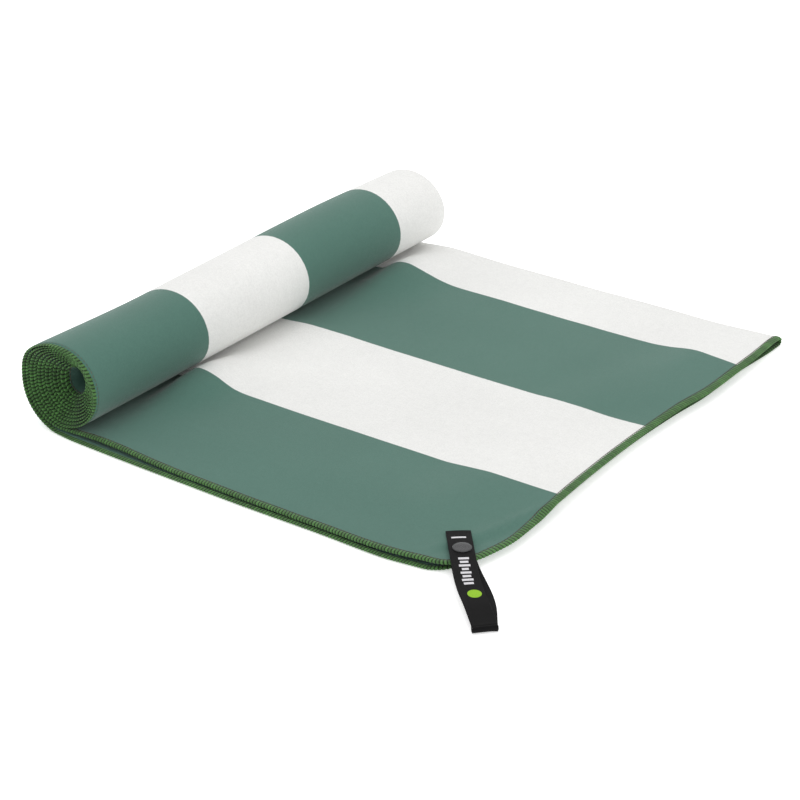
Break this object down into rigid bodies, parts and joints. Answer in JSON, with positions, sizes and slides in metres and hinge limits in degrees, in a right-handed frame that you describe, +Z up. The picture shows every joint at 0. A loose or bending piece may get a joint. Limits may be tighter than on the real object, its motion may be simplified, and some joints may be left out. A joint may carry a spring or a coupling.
{
  "type": "quick dry towel",
  "caption": "Striped microfibre travel towel, folded in half lengthwise and part rolled, with overlocked hems and a ribbon hanging loop that a snap fastener closes.",
  "frame": {"origin": "on the underside of the flat part, in its middle: 152 mm from the finished free end and 200 mm from the fold", "axes": "+X along the towel towards its free end, +Y from the open near edges to the fold, +Z up from the surface that the towel lies on"},
  "size_m": [0.4191, 0.4664, 0.069],
  "materials": {
    "cloth": "brushed microfibre, printed in wide green and white stripes",
    "overlock_thread": "matte polyester thread",
    "ribbon": "fine woven satin ribbon",
    "sewing_thread": "matte polyester thread",
    "snap_plastic": "satin moulded acetal"
  },
  "bodies": {
    "towel": {"towel_cloth": "cloth", "hem_top_long_edge": "overlock_thread", "hem_bottom_long_edge": "overlock_thread", "hem_free_end": "overlock_thread", "hem_inner_end": "overlock_thread", "loop_sewn_run": "ribbon", "bar_tack_1": "sewing_thread", "bar_tack_2": "sewing_thread", "snap_stud": "snap_plastic", "snap_back_cap": "snap_plastic"},
    "free_run": {"loop_free_run": "ribbon", "snap_front_cap": "snap_plastic", "snap_socket": "snap_plastic"}
  },
  "joints": [
    {"name": "loop_opens", "type": "hinge", "parent": "towel", "child": "free_run", "pos_m": [0.19964, -0.25327, 0.0056], "axis": [0.7385, 0.6743, 0], "range_deg": [0, 150]}
  ]
}
